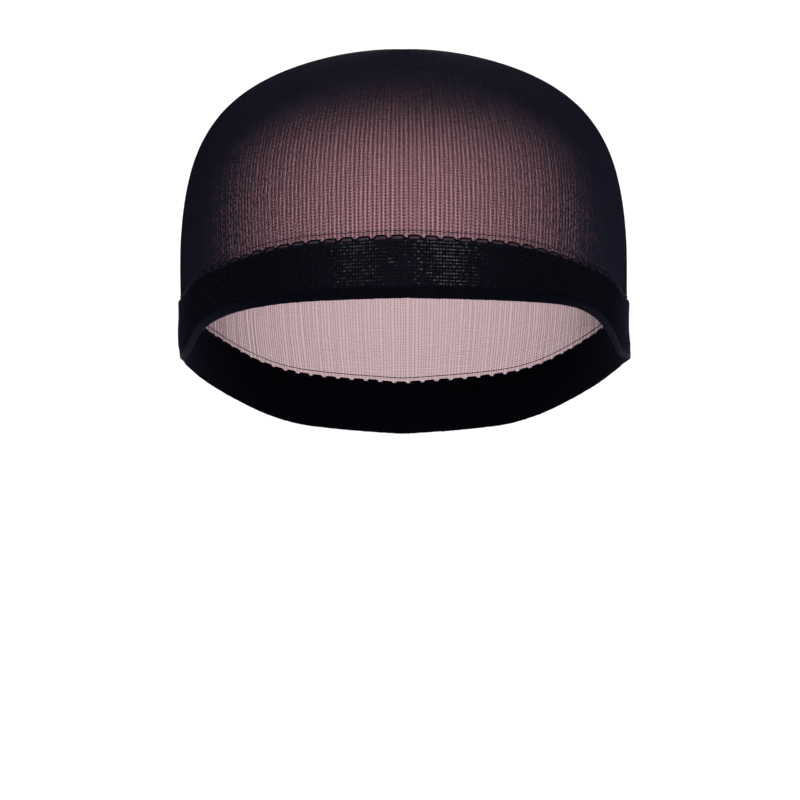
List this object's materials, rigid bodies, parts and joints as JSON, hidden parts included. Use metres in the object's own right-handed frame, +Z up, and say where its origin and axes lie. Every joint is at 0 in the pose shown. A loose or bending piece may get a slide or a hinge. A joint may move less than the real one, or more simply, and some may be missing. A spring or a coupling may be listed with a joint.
{
  "type": "wig cap",
  "caption": "Sheer stretch-knit wig cap in its worn dome form: a ribbed see-through crown over a dense elastic band that runs from the brow, down over the ears, to the nape.",
  "frame": {"origin": "the point inside the crown where the top of the wearer's head touches the knit", "axes": "+Z up, -Y the way the wearer faces, +X towards the wearer's left ear"},
  "size_m": [0.1583, 0.1908, 0.1341],
  "materials": {
    "sheer_knit": "sheer black nylon rib knit, matt with a faint sheen",
    "elastic_knit": "dense black nylon and elastane knit, doubled, matt"
  },
  "bodies": {
    "root": {"crown": "sheer_knit", "band": "elastic_knit"}
  },
  "joints": []
}
